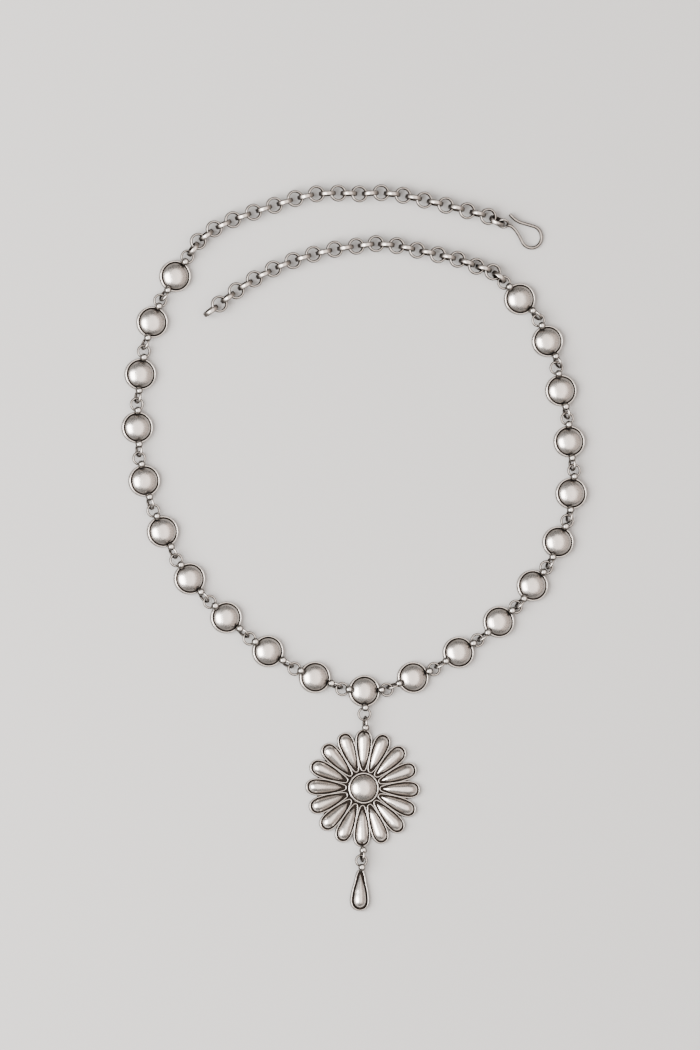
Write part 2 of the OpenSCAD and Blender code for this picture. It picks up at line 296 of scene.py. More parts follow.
def makeFloor(look):
    material, nodes, join, shader = newMaterial("paleFloor")
    place = nodes.new("ShaderNodeTexCoord").outputs["Object"]
    cloud = noise(nodes, join, place, look["scale"])
    paint = mixed(nodes, join, "RGBA", cloud, look["clean"] + (1,), look["patch"] + (1,))
    join(paint, shader.inputs["Base Color"])
    shader.inputs["Roughness"].default_value = look["roughness"]
    mesh = bpy.data.meshes.new("floor")
    half = look["half"]
    corners = [(-half, -half, 0), (half, -half, 0), (half, half, 0), (-half, half, 0)]
    mesh.from_pydata(corners, [], [(0, 1, 2, 3)])
    mesh.materials.append(material)
    floor = bpy.data.objects.new("floor", mesh)
    bpy.context.scene.collection.objects.link(floor)


# Finishes in the order of a piece's material slots
finishOrder = ("domeSilver", "wireSilver", "solderSilver", "petalSilver")
domeFinish, wireFinish, solderFinish, petalFinish = range(4)
onlyFinish = 0    # on a piece with one material


# Shapes are lists of points in mm with faces, a "dark" value for each point and a finish for each face
def newShape():
    return {"points": np.zeros((0, 3)), "dark": np.zeros(0), "faces": [], "finish": []}


def addPoints(shape, points, dark, faces, finish):
    first = len(shape["points"])
    points = np.asarray(points, float).reshape(-1, 3)
    shape["points"] = np.concatenate([shape["points"], points])
    shape["dark"] = np.concatenate([shape["dark"], np.broadcast_to(np.asarray(dark, float), len(points))])
    shape["faces"] += [tuple(first + k for k in face) for face in faces]
    shape["finish"] += [finish] * len(faces)


# Rows of points joined up as quads, each row closed on itself, and the last row joined to the first if asked
def addGrid(shape, grid, dark, finish, closeRows=False):
    grid = np.asarray(grid, float)
    rows, columns = grid.shape[:2]
    i = np.arange(rows if closeRows else rows - 1)[:, None]
    j = np.arange(columns)[None, :]
    here, ahead, beside = i % rows, (i + 1) % rows, (j + 1) % columns
    corners = [(here, j), (here, beside), (ahead, beside), (ahead, j)]
    faces = np.stack([a * columns + b for a, b in corners], -1).reshape(-1, 4)
    addPoints(shape, grid, np.broadcast_to(dark, (rows, columns)).reshape(-1), faces.tolist(), finish)


def addMesh(shape, mesh, finish):
    points = np.empty(len(mesh.vertices) * 3)
    mesh.vertices.foreach_get("co", points)
    dark = np.empty(len(mesh.vertices))
    mesh.attributes["dark"].data.foreach_get("value", dark)
    addPoints(shape, points / mm, dark, [tuple(p.vertices) for p in mesh.polygons], finish)


def addShape(shape, other):
    for face, finish in zip(other["faces"], other["finish"]):
        shape["faces"].append(tuple(len(shape["points"]) + k for k in face))
        shape["finish"].append(finish)
    shape["points"] = np.concatenate([shape["points"], other["points"]])
    shape["dark"] = np.concatenate([shape["dark"], other["dark"]])


def moveShape(shape, x, y, heading):
    c, s = cos(radians(heading)), sin(radians(heading))
    shape["points"] = shape["points"] @ np.array([[c, s, 0], [-s, c, 0], [0, 0, 1]]) + [x, y, 0]
    return shape


# A turned profile: rows of radius, height and dark value
def addTurned(shape, rows, sides, finish, centre=(0, 0, 0)):
    rows = np.array(rows, float)
    way = np.linspace(0, 2 * pi, sides, endpoint=False)
    grid = np.stack([rows[:, :1] * np.cos(way) + centre[0], rows[:, :1] * np.sin(way) + centre[1],
                     np.repeat(rows[:, 1:2], sides, 1) + centre[2]], -1)
    addGrid(shape, grid, np.repeat(rows[:, 2:3], sides, 1), finish)


# Rows of a profile along an arc, with dark values spread evenly over it
def arcRows(centre, radius, start, end, steps, dark):
    rows = []
    for k in range(steps + 1):
        angle = radians(start + (end - start) * k / steps)
        value = np.interp(k / steps, np.linspace(0, 1, len(dark)), dark)
        rows.append((centre[0] + radius * cos(angle), centre[1] + radius * sin(angle), value))
    return rows


# Clean on top, with painted shade on the flanks towards the surface: how upright the normal is where the
# painted shade begins, how fast the metal darkens from there on balls and on each kind of wire, and the dark
# value that their flanks reach
flankShade = {"ends": 0.975, "flank": 0.65, "ball": 1.7, "flatRing": 7, "uprightRing": 1.3, "hook": 6,
          "flatLink": 3.6, "uprightLink": 1.2}


def paintedUnderShade(normalZ, fall):
    return np.clip(fall * (flankShade["ends"] - normalZ), 0, flankShade["flank"])


ringLook = {"around": 44, "sides": 20, "uprightFrom": 45, "innerFrom": 0.3}


# A round wire ring, flat with roll 0 and upright with roll 90, with painted shade below and patina on its
# inner side
def addRing(shape, centre, radius, wire, roll, finish, around=ringLook["around"], sides=ringLook["sides"]):
    turn = np.linspace(0, 2 * pi, around, endpoint=False)[:, None]
    side = np.linspace(0, 2 * pi, sides, endpoint=False)[None, :]
    out = radius + wire / 2 * np.cos(side)
    x, y, z = out * np.cos(turn), out * np.sin(turn), wire / 2 * np.sin(side) + 0 * turn
    c, s = cos(radians(roll)), sin(radians(roll))
    grid = np.stack([x + centre[0], y * c - z * s + centre[1], y * s + z * c + centre[2]], -1)
    normalZ = np.cos(side) * np.sin(turn) * s + np.sin(side) * c
    inner = np.clip(-np.cos(side) - ringLook["innerFrom"], 0, 1)
    fall = flankShade["uprightRing" if roll > ringLook["uprightFrom"] else "flatRing"]
    addGrid(shape, grid, np.clip(paintedUnderShade(normalZ, fall) + inner, 0, 1), finish, True)


# Solder balls: how high up, as a share of the radius, each one's top is worn, and how much rise is left above
ballLook = {"worn": (0.8, 0.92), "rise": 0.3, "rows": 16, "sides": 26}


def addBall(shape, centre, radius, finish, rng):
    worn = rng.uniform(*ballLook["worn"])
    rows = []
    for k in range(ballLook["rows"] + 1):
        angle = radians(-90 + 180 * k / ballLook["rows"])
        high = min(sin(angle), worn + ballLook["rise"] * (sin(angle) - worn))
        # Painted shade darkens each ball's sides and underside
        rows.append((radius * cos(angle), radius * high, paintedUnderShade(sin(angle), flankShade["ball"])))
    addTurned(shape, rows, ballLook["sides"], finish, centre)


lugLook = {"sides": 14, "rows": 9, "flare": 0.5, "dark": 0.7}


# A waisted lug of solder along X between a wall and a ring
def addLug(shape, start, end, z, radius, finish):
    side = np.linspace(0, 2 * pi, lugLook["sides"], endpoint=False)
    middle = 0 * side
    grid = [np.stack([middle + start, middle, middle + z], -1)]
    for f in np.linspace(0, 1, lugLook["rows"]):
        r = radius * (1 + lugLook["flare"] * (2 * f - 1) ** 2)
        x = middle + start + (end - start) * f
        grid.append(np.stack([x, r * np.cos(side), z + r * np.sin(side)], -1))
    grid.append(np.stack([middle + end, middle, middle + z], -1))
    addGrid(shape, grid, lugLook["dark"], finish)


# Painted shade and patina that gather on a shape round a soldered ball
def darkenNear(shape, centre, radius, reach):
    far = np.linalg.norm(shape["points"] - np.array(centre), axis=1) - radius
    shape["dark"] = np.maximum(shape["dark"], np.clip(1 - np.abs(far) / reach, 0, 1))


def makeMesh(name, shape, materials):
    mesh = bpy.data.meshes.new(name)
    mesh.from_pydata((shape["points"] * mm).tolist(), [], shape["faces"])
    mesh.polygons.foreach_set("material_index", np.array(shape["finish"], np.int32))
    mesh.attributes.new("dark", "FLOAT", "POINT").data.foreach_set("value", shape["dark"].astype(np.float32))
    for material in materials:
        mesh.materials.append(material)
    tidyMesh(mesh)
    return mesh


meshLook = {"merge": 0.001, "collapse": 0.0005, "sharp": 55}    # mm, mm and degrees


# Merge doubles, close poles, turn normals outwards, shade smooth with sharp corners kept
def tidyMesh(mesh):
    work = bmesh.new()
    work.from_mesh(mesh)
    bmesh.ops.remove_doubles(work, verts=work.verts, dist=meshLook["merge"] * mm)
    bmesh.ops.dissolve_degenerate(work, edges=work.edges, dist=meshLook["collapse"] * mm)
    bmesh.ops.recalc_face_normals(work, faces=work.faces)
    for face in work.faces:
        face.smooth = True
    for edge in work.edges:
        edge.smooth = edge.calc_face_angle(0) < radians(meshLook["sharp"])
    work.to_mesh(mesh)
    work.free()


def addPiece(name, mesh, node):
    piece = bpy.data.objects.new(name, mesh)
    bpy.context.scene.collection.objects.link(piece)
    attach(piece, "root")
    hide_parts(node)


# A Geometry Nodes tree with named inputs: gives its nodes, the call that joins sockets, and both ends
def newTree(name, inputs):
    tree = bpy.data.node_groups.new(name, "GeometryNodeTree")
    tree.interface.new_socket("Geometry", in_out="INPUT", socket_type="NodeSocketGeometry")
    for label, kind in inputs:
        tree.interface.new_socket(label, in_out="INPUT", socket_type=kind)
    tree.interface.new_socket("Material", in_out="INPUT", socket_type="NodeSocketMaterial")
    tree.interface.new_socket("Geometry", in_out="OUTPUT", socket_type="NodeSocketGeometry")
    nodes = tree.nodes
    given, out = nodes.new("NodeGroupInput").outputs, nodes.new("NodeGroupOutput").inputs
    return tree, nodes, tree.links.new, given, out


def finishTree(nodes, join, geometry, given, out):
    real = nodes.new("GeometryNodeRealizeInstances")
    paint = nodes.new("GeometryNodeSetMaterial")
    join(geometry, real.inputs["Geometry"])
    join(real.outputs["Geometry"], paint.inputs["Geometry"])
    join(given["Material"], paint.inputs["Material"])
    join(paint.outputs["Geometry"], out["Geometry"])


def keepValue(nodes, join, geometry, name, value):
    keep = nodes.new("GeometryNodeStoreNamedAttribute")
    keep.data_type = "FLOAT"
    keep.inputs["Name"].default_value = name
    join(geometry, keep.inputs["Geometry"])
    join(value, keep.inputs["Value"])
    return keep.outputs["Geometry"]


def readValue(nodes, name, kind):
    read = nodes.new("GeometryNodeInputNamedAttribute")
    read.data_type = kind
    read.inputs["Name"].default_value = name
    return next(s for s in read.outputs if s.enabled)


# The tree's result on a source mesh, as a plain mesh
def runTree(source, tree, values):
    worker = bpy.data.objects.new("worker", source)
    bpy.context.scene.collection.objects.link(worker)
    modifier = worker.modifiers.new("make", "NODES")
    modifier.node_group = tree
    for item in tree.interface.items_tree:
        if item.in_out == "INPUT" and item.name in values:
            modifier[item.identifier] = values[item.name]
    graph = bpy.context.evaluated_depsgraph_get()
    made = bpy.data.meshes.new_from_object(worker.evaluated_get(graph))
    worker.modifiers.remove(modifier)
    bpy.data.objects.remove(worker)
    return made


def setValues(mesh, name, kind, values):
    layer = mesh.attributes.new(name, kind, "POINT")
    field = "vector" if kind == "FLOAT_VECTOR" else "value"
    layer.data.foreach_set(field, np.array(values, np.float32).ravel())


# Smooth line through points, with the given number of points on it
def smoothLine(points, count):
    points = np.array(points, float)
    run = np.concatenate([[0], np.cumsum(np.linalg.norm(np.diff(points, axis=0), axis=1))])
    slope = np.gradient(points, run, axis=0)
    at = np.linspace(0, run[-1], count)
    k = np.clip(np.searchsorted(run, at, side="right") - 1, 0, len(run) - 2)
    span = run[k + 1] - run[k]
    f = ((at - run[k]) / span)[:, None]
    span = span[:, None]
    return (points[k] * (1 + 2 * f) * (1 - f) ** 2 + slope[k] * span * f * (1 - f) ** 2
            + points[k + 1] * f * f * (3 - 2 * f) + slope[k + 1] * span * f * f * (f - 1))


# Half outline of a teardrop along +X, from the middle of its broad end down one side to the middle of its
# tip. Both ends are arcs, unless the tip's radius is 0.
def teardropSide(endX, endR, side, tipX, tipR, count):
    broad = [(endX + endR * cos(radians(a)), endR * sin(radians(a))) for a in range(0, 76, 15)]
    tip = [(tipX + tipR * cos(radians(a)), tipR * sin(radians(a))) for a in (105, 130, 155, 180)]
    line = smoothLine(broad + side + (tip if tipR else [(tipX, 0)]), count)
    line[[0, -1], 1] = 0
    return line


# Cups round the petals and the drop: dark values over the rim from outside to inside (painted shade outside,
# patina towards the groove), gap between rim and floor, and how much less painted shade the wall has where it
# faces outwards, growing over some mm
cupLook = {"rimDark": (0.85, 0.6, 0.3, 0.08, 0, 0.08, 0.4, 0.8, 0.95), "gap": 0.03, "openLighter": 0.5,
           "openLighterOver": 1.5}


# Wall, rim, groove and floor of a teardrop cup, in rows of inset from the outline, height and dark value.
# The wall faces outwards beyond the look's openX.
def addCup(shape, line, look, finish):
    outline = np.concatenate([line, line[-2:0:-1] * [1, -1]])
    ahead = np.roll(outline, -1, 0) - np.roll(outline, 1, 0)
    inward = np.stack([-ahead[:, 1], ahead[:, 0]], -1) / np.linalg.norm(ahead, axis=1)[:, None]
    r = look["rim"] / 2
    middle = look["rimTop"] - r
    # The wall's dark values are painted shade, as in the narrow gaps between petals
    wall = [(0.12, 0, 0.9), (0.03, 0.1, 0.9), (0.03, middle - 0.25, 0.95), (0.02, middle - 0.1, 0.9)]
    rows = list(wall)
    last = len(cupLook["rimDark"]) - 1
    for k, value in enumerate(cupLook["rimDark"]):
        angle = radians(180 - 180 * k / last)
        rows.append((r + r * cos(angle), middle + r * sin(angle), value))
    rows.append((look["rim"] + cupLook["gap"], look["floorTop"], 1))
    grid, dark = [], []
    for inset, high, value in rows:
        grid.append(np.concatenate([outline + inward * inset, np.full((len(outline), 1), high)], 1))
        dark.append(np.full(len(outline), value))
    dark = np.array(dark)
    # Less painted shade on the wall where it faces outwards
    shown = np.clip((outline[:, 0] - look["openX"]) / cupLook["openLighterOver"], 0, 1)
    dark[:len(wall)] *= 1 - cupLook["openLighter"] * shown
    addGrid(shape, grid, dark, finish)
    end, count = len(shape["points"]), len(outline)
    begin = end - count * len(rows)
    shape["faces"] += [tuple(range(begin, begin + count)), tuple(range(end - count, end))]
    shape["finish"] += [finish] * 2


# Flanks of the petals and the drop: dark values by degrees up the side (patina at the foot, then a painted
# dark reflection fading upwards), rows that are dark at both ends, how deep the flat base goes into the cup
flankLook = {"degrees": (0, 8, 20, 34, 50, 66), "dark": (1, 0.6, 0.35, 0.18, 0.06, 0), "endRows": 1.5,
             "sunk": 0.3}


# Half of a turned teardrop on a flat base
def addHalfTeardrop(shape, line, baseZ, finish, sides=24):
    angle = np.linspace(0, pi, sides)
    up = np.degrees(np.minimum(angle, pi - angle))
    flank = np.concatenate([np.interp(up, flankLook["degrees"], flankLook["dark"]), [1, 1]])
    low = baseZ - flankLook["sunk"]
    grid = []
    for x, w in line:
        y = np.concatenate([w * np.cos(angle), [-w, w]])
        z = np.concatenate([baseZ + w * np.sin(angle), [low, low]])
        grid.append(np.stack([0 * y + x, y, z], -1))
    ends = np.minimum(np.arange(len(line)), np.arange(len(line))[::-1])
    tips = np.clip(1 - ends / flankLook["endRows"], 0, 1)
    addGrid(shape, grid, np.maximum(flank[None, :], tips[:, None]), finish)


# Domes: sizes of bezel and cap, the cap's start below the wall's top, its shallow dents with their depth,
# distance from the middle, width and the height over which they set in, then dark values up the cap and over
# the rim from outside to inside
domeLook = {"bezelD": 10, "wallH": 1.9, "rimWire": 0.55, "capD": 8.7, "capTop": 3.9, "groove": 0.12,
            "capSunk": 0.5, "sides": 96, "seed": 11, "dents": 4, "dentDeep": 0.05, "dentFar": (0.5, 3),
            "dentWide": (1.6, 2.6), "smoothBelow": 1.2,
            # capDark: patina at the cap's foot, then a painted dark reflection fading up its lower edge
            "capDark": (1, 0.88, 0.74, 0.6, 0.48, 0.37, 0.28, 0.2, 0.13, 0.08, 0.04) + (0,) * 13,
            # rimDark: painted shade on the rim's outer side, patina where it turns into the groove
            "rimDark": (0.95, 0.85, 0.65, 0.35, 0.08, 0, 0.05, 0.4, 0.8, 0.98)}
flowerDomeLook = {**domeLook, "bezelD": 9.9, "wallH": 2.15, "capTop": 4.3}
centreRings = (4, 176, 270)    # headings of the centre dome's rings

# Soldered rings: wire, radius, reach from the dome's middle, heights lying and standing, lean of the standing
# ones, then the ball, the lug behind it and how far painted shade and patina spread round the ball on both
# sides of the joint
endLook = {"wire": 0.75, "ringR": 1.9, "reach": 7.3, "flatZ": 1.85, "uprightZ": 2.28, "lean": 12,
           "ballR": 1.2, "ballReach": 5.35, "ballZ": 3.05, "lugR": 0.42, "lugSunk": 0.6,
           "shadeAndPatinaOut": 0.45, "shadeAndPatinaIn": 0.4}


# Bezel with rolled foot, rim wire and black groove round a hand-raised cap
def addDome(shape, look, rng):
    outer, wire, high = look["bezelD"] / 2, look["rimWire"] / 2, look["wallH"]
    foot = high - look["capSunk"]
    # The dark values on the foot and the outer wall are painted shade, darkest at the bottom and under the
    # rim wire
    rows = [(0, 0, 0.6), (outer - 0.4, 0, 0.95), (outer - 0.14, 0.06, 0.8), (outer - 0.02, 0.25, 0.4),
            (outer - 0.01, 0.6, 0.25), (outer - 0.03, high - 0.8, 0.35), (outer - 0.14, high - 0.52, 0.7),
            (outer - 0.17, high - 0.32, 0.95)]
    rows += arcRows((outer - wire, high), wire, -50, 190, 14, look["rimDark"])    # over the rim wire
    rows.append((look["capD"] / 2 + look["groove"], high - 0.3, 1))    # bottom of the groove
    for r, z, dark in arcRows((0, 0), 1, 3, 90, 34, look["capDark"]):
        rows.append((r * look["capD"] / 2, foot + z * (look["capTop"] - foot), dark))
    first = len(shape["points"])
    addTurned(shape, rows, look["sides"], domeFinish)
    cap = shape["points"][first:]
    raised = np.clip((cap[:, 2] - high) / look["smoothBelow"], 0, 1)
    for k in range(look["dents"]):
        turn, far = rng.uniform(0, 2 * pi), rng.uniform(*look["dentFar"])
        away = np.hypot(cap[:, 0] - far * cos(turn), cap[:, 1] - far * sin(turn))
        near = away / rng.uniform(*look["dentWide"])
        cap[:, 2] -= raised * rng.uniform(0, look["dentDeep"]) * np.exp(-near ** 2)


# What is soldered on at the end of +X: a ring, a lug and a ball over the joint
def addEnd(shape, look, roll, reach, ballAt, lugFrom, heading, rng):
    end = newShape()
    ringZ = look["flatZ"] if roll == 0 else look["uprightZ"]
    addRing(end, (reach, 0, ringZ), look["ringR"], look["wire"], roll, wireFinish)
    addLug(end, lugFrom, reach - look["ringR"], look["flatZ"], look["lugR"], solderFinish)
    ball = (ballAt, 0, look["ballZ"])
    darkenNear(end, ball, look["ballR"], look["shadeAndPatinaOut"])
    addBall(end, ball, look["ballR"], solderFinish, rng)
    centre = (ballAt * cos(radians(heading)), ballAt * sin(radians(heading)), look["ballZ"])
    darkenNear(shape, centre, look["ballR"], look["shadeAndPatinaIn"])
    addShape(shape, moveShape(end, 0, 0, heading))


def domeEnd(shape, heading, roll, rng):
    look = endLook
    lugFrom = domeLook["bezelD"] / 2 - look["lugSunk"]
    addEnd(shape, look, roll, look["reach"], look["ballReach"], lugFrom, heading, rng)


def makeDomes(silver):
    finishes = [silver[name] for name in finishOrder[:petalFinish]]
    rng = random.Random(domeLook["seed"])
    shape = newShape()
    addDome(shape, domeLook, rng)
    for heading in centreRings:
        domeEnd(shape, heading, 0, rng)
    addPiece("centreDome", makeMesh("centreDome", shape, finishes), "centre_dome")
    for side, steps in (("right", rightDomes), ("left", leftDomes)):
        for n in range(1, 11):
            shape = newShape()
            addDome(shape, domeLook, rng)
            domeEnd(shape, 0, 0, rng)
            domeEnd(shape, 180, 90 - endLook["lean"], rng)
            (x, y), axis = along(steps, n), domeAxis(steps, n)
            if side == "left":
                x, axis = -x, 180 - axis
            moveShape(shape, x, y, axis)
            name = f"{side}Dome{n:02d}"
            addPiece(name, makeMesh(name, shape, finishes), f"{side}_dome_{n:02d}")
    print("domes made")


# Petals: the cup's round end, points down its side and tip, then the same for the raised middle; how far each
# petal is turned (radians) and sized at random
petalLook = {"count": 16, "flowerR": 18.62, "endR": 2.52, "side": [(13.1, 2.62), (8.5, 1.73)], "tipX": 6.3,
             "tipR": 1, "rim": 0.38, "rimTop": 1.55, "floorTop": 1.0, "openX": 15.5,
             "domeEndX": 15.85, "domeEndR": 2, "domeTip": 6.5, "domeZ": 0.85,
             "domeSide": [(13.2, 1.98), (11.7, 1.76), (10.1, 1.46), (8.5, 1.06)],
             "rows": 40, "turnBy": 0.006, "sizeBy": 0.012, "seed": 3}
# Flower: place and turn, plate, then reach of ring and ball at its top and bottom
flowerLook = {"at": (-0.3, -30.78), "turn": -1.2, "plateR": 14.9, "plateH": 0.9, "plateSides": 96,
              "ringReach": (20.68, 21.3), "ballReach": (19.14, 19.8), "lugSunk": 0.45, "seed": 5}


def makePetal(look):
    shape = newShape()
    endX, rows = look["flowerR"] - look["endR"], look["rows"]
    side = teardropSide(endX, look["endR"], look["side"], look["tipX"], look["tipR"], rows)
    addCup(shape, side, look, onlyFinish)
    line = teardropSide(look["domeEndX"], look["domeEndR"], look["domeSide"], look["domeTip"], 0, rows)
    addHalfTeardrop(shape, line, look["domeZ"], onlyFinish)
    return shape


# Petals round Z, each a little turned and sized at random
def makePetalTree():
    tree, nodes, join, given, out = newTree("petals", [
        ("Count", "NodeSocketInt"), ("Turn by", "NodeSocketFloat"), ("Size by", "NodeSocketFloat"),
        ("Seed", "NodeSocketInt")])
    points = nodes.new("GeometryNodePoints")
    join(given["Count"], points.inputs["Count"])
    index = nodes.new("GeometryNodeInputIndex").outputs["Index"]
    step = maths(nodes, join, "DIVIDE", 2 * pi, given["Count"])
    chance = nodes.new("FunctionNodeRandomValue")
    chance.data_type = "FLOAT"
    next(s for s in chance.inputs if s.enabled).default_value = -1    # from -1 to 1
    join(given["Seed"], chance.inputs["Seed"])
    wobble = next(s for s in chance.outputs if s.enabled)
    turn = nodes.new("ShaderNodeCombineXYZ")
    even = maths(nodes, join, "MULTIPLY", index, step)
    turnBy = maths(nodes, join, "MULTIPLY", wobble, given["Turn by"])
    join(maths(nodes, join, "ADD", even, turnBy), turn.inputs["Z"])
    size = nodes.new("ShaderNodeCombineXYZ")
    size.inputs["X"].default_value = 1
    size.inputs["Z"].default_value = 1
    sizeBy = maths(nodes, join, "MULTIPLY", wobble, given["Size by"])
    join(maths(nodes, join, "ADD", sizeBy, 1), size.inputs["Y"])
    place = nodes.new("GeometryNodeInstanceOnPoints")
    join(points.outputs[0], place.inputs["Points"])
    join(given["Geometry"], place.inputs["Instance"])
    join(turn.outputs["Vector"], place.inputs["Rotation"])
    join(size.outputs["Vector"], place.inputs["Scale"])
    finishTree(nodes, join, place.outputs["Instances"], given, out)
    return tree


def makeFlower(silver):
    finishes = [silver[name] for name in finishOrder]
    look, rng = flowerLook, random.Random(flowerLook["seed"])
    shape = newShape()
    plateR, plateH = look["plateR"], look["plateH"]
    plate = [(0, 0, 1), (plateR, 0, 1), (plateR, plateH, 1), (0, plateH, 1)]
    addTurned(shape, plate, look["plateSides"], petalFinish)
    petal = makeMesh("petal", makePetal(petalLook), [])
    sizes = {"Count": petalLook["count"], "Turn by": petalLook["turnBy"], "Size by": petalLook["sizeBy"],
             "Seed": petalLook["seed"]}
    petals = runTree(petal, makePetalTree(), {**sizes, "Material": silver["petalSilver"]})
    addMesh(shape, petals, petalFinish)
    addDome(shape, flowerDomeLook, rng)
    lugFrom = petalLook["flowerR"] - look["lugSunk"]
    for reach, ballAt, heading in zip(look["ringReach"], look["ballReach"], (90, 270)):
        addEnd(shape, endLook, 90, reach, ballAt, lugFrom, heading, rng)
    moveShape(shape, *look["at"], look["turn"])
    addPiece("flowerPendant", makeMesh("flowerPendant", shape, finishes), "flower_pendant")
    print("flower made")


# Drop: its ring's middle from the flower's, its turn, the cup's tip from the ring's middle, then the cup and
# the raised middle in it as for a petal, then ring, ball and lug
dropLook = {"from": (-0.7, -22.97), "turn": 268.2, "reach": 2.7, "long": 13.2, "wide": 5.8,
            "side": [(7.3, 2.68), (4.4, 1.98)], "tipR": 1.05, "rim": 0.38, "rimTop": 1.75, "floorTop": 1.0,
            "openX": 0, "domeSide": [(7.3, 1.9), (4.4, 1.2)], "domeInset": 0.8, "domeZ": 0.85, "domeTip": 1,
            "rows": 48, "domeRows": 44, "domeSides": 26, "ringR": 1.7, "ballReach": 2.2, "ballZ": 2.85,
            "ballR": 1.15, "lugZ": 1.45, "lugLong": 2, "seed": 8}


def makeDrop(silver):
    look, rng = dropLook, random.Random(dropLook["seed"])
    body = newShape()
    half = look["wide"] / 2
    endX, domeR = look["long"] - half, half - look["domeInset"]
    side = teardropSide(endX, half, look["side"], look["tipR"], look["tipR"], look["rows"])
    addCup(body, side, look, petalFinish)
    line = teardropSide(endX, domeR, look["domeSide"], look["domeTip"], 0, look["domeRows"])
    addHalfTeardrop(body, line, look["domeZ"], petalFinish, look["domeSides"])
    moveShape(body, look["reach"], 0, 0)
    addRing(body, (0, 0, endLook["flatZ"]), look["ringR"], endLook["wire"], 0, wireFinish)
    lugTo = look["ringR"] + look["lugLong"]
    addLug(body, look["ringR"], lugTo, look["lugZ"], endLook["lugR"], solderFinish)
    ball = (look["ballReach"], 0, look["ballZ"])
    darkenNear(body, ball, look["ballR"], endLook["shadeAndPatinaOut"])
    addBall(body, ball, look["ballR"], solderFinish, rng)
    x, y = np.array(flowerLook["at"]) + look["from"]
    moveShape(body, x, y, look["turn"])
    finishes = [silver[name] for name in finishOrder]
    addPiece("silverDrop", makeMesh("silverDrop", body, finishes), "drop")
    print("drop made")


# Links: sizes in mm, how uneven the metal is and the scale of that wear, how round its corners are as a share
# of its thickness, and where and how fast dirt begins on the inner side
linkLook = {"outerD": 5.4, "thick": 0.8, "wide": 1.45, "uneven": 0.03, "wearScale": 900, "corner": 0.46,
            "cornerSteps": 3, "around": 48, "innerFrom": 0.12, "innerFast": 3}


# The same painted shade on the underside as on the rings, from the normal inside a tree
def paintedLowShade(nodes, join, fall):
    spread = nodes.new("ShaderNodeSeparateXYZ")
    join(nodes.new("GeometryNodeInputNormal").outputs["Normal"], spread.inputs["Vector"])
    below = maths(nodes, join, "SUBTRACT", flankShade["ends"], spread.outputs["Z"])
    grown = maths(nodes, join, "MULTIPLY", below, fall, True)
    return maths(nodes, join, "MINIMUM", grown, flankShade["flank"])


# Band links on the source's points, turned by its "turn" values, with patina on their inner side and painted
# shade below as its "fall" values say, each with worn, uneven metal
def makeLinkTree(look):
    tree, nodes, join, given, out = newTree("links", [
        ("Radius", "NodeSocketFloat"), ("Thick", "NodeSocketFloat"), ("Wide", "NodeSocketFloat"),
        ("Uneven", "NodeSocketFloat"), ("Seed", "NodeSocketFloat")])
    loop = nodes.new("GeometryNodeCurvePrimitiveCircle")
    loop.inputs["Resolution"].default_value = look["around"]
    join(given["Radius"], loop.inputs["Radius"])
    section = nodes.new("GeometryNodeCurvePrimitiveQuadrilateral")
    join(given["Thick"], section.inputs["Width"])
    join(given["Wide"], section.inputs["Height"])
    soft = nodes.new("GeometryNodeFilletCurve")
    soft.mode = "POLY"
    soft.inputs["Count"].default_value = look["cornerSteps"]
    join(section.outputs["Curve"], soft.inputs["Curve"])
    join(maths(nodes, join, "MULTIPLY", given["Thick"], look["corner"]), soft.inputs["Radius"])
    band = nodes.new("GeometryNodeCurveToMesh")
    join(loop.outputs["Curve"], band.inputs["Curve"])
    join(soft.outputs["Curve"], band.inputs["Profile Curve"])
    spot = nodes.new("GeometryNodeInputPosition").outputs["Position"]
    flat = nodes.new("ShaderNodeVectorMath")
    flat.operation = "MULTIPLY"
    flat.inputs[1].default_value = (1, 1, 0)
    join(spot, flat.inputs[0])
    size = nodes.new("ShaderNodeVectorMath")
    size.operation = "LENGTH"
    join(flat.outputs["Vector"], size.inputs[0])
    deep = maths(nodes, join, "SUBTRACT", given["Radius"], size.outputs["Value"])
    inside = maths(nodes, join, "DIVIDE", deep, given["Thick"])
    within = maths(nodes, join, "SUBTRACT", inside, look["innerFrom"])
    dark = maths(nodes, join, "MULTIPLY", within, look["innerFast"], True)
    marked = keepValue(nodes, join, band.outputs["Mesh"], "dark", dark)
    place = nodes.new("GeometryNodeInstanceOnPoints")
    join(given["Geometry"], place.inputs["Points"])
    join(marked, place.inputs["Instance"])
    join(readValue(nodes, "turn", "FLOAT_VECTOR"), place.inputs["Rotation"])
    real = nodes.new("GeometryNodeRealizeInstances")
    join(place.outputs["Instances"], real.inputs["Geometry"])
    below = paintedLowShade(nodes, join, readValue(nodes, "fall", "FLOAT"))
    both = maths(nodes, join, "ADD", readValue(nodes, "dark", "FLOAT"), below, True)
    patinaAndShaded = keepValue(nodes, join, real.outputs["Geometry"], "dark", both)
    rough = nodes.new("ShaderNodeTexNoise")
    rough.noise_dimensions = "4D"
    rough.inputs["Scale"].default_value = look["wearScale"]
    join(given["Seed"], rough.inputs["W"])
    centred = nodes.new("ShaderNodeVectorMath")
    centred.operation = "SUBTRACT"
    centred.inputs[1].default_value = (0.5, 0.5, 0.5)
    join(rough.outputs["Color"], centred.inputs[0])
    push = nodes.new("ShaderNodeVectorMath")
    push.operation = "SCALE"
    join(centred.outputs["Vector"], push.inputs[0])
    join(given["Uneven"], push.inputs["Scale"])
    move = nodes.new("GeometryNodeSetPosition")
    join(patinaAndShaded, move.inputs["Geometry"])
    join(push.outputs["Vector"], move.inputs["Offset"])
    finishTree(nodes, join, move.outputs["Geometry"], given, out)
    return tree


# Each chain: heading after its last link, that link's roll, seed of the wear
chainEnds = {"right": {"leave": 218, "lastRoll": 90, "seed": 1.0},
             "left": {"leave": -22, "lastRoll": 116, "seed": 2.0}}


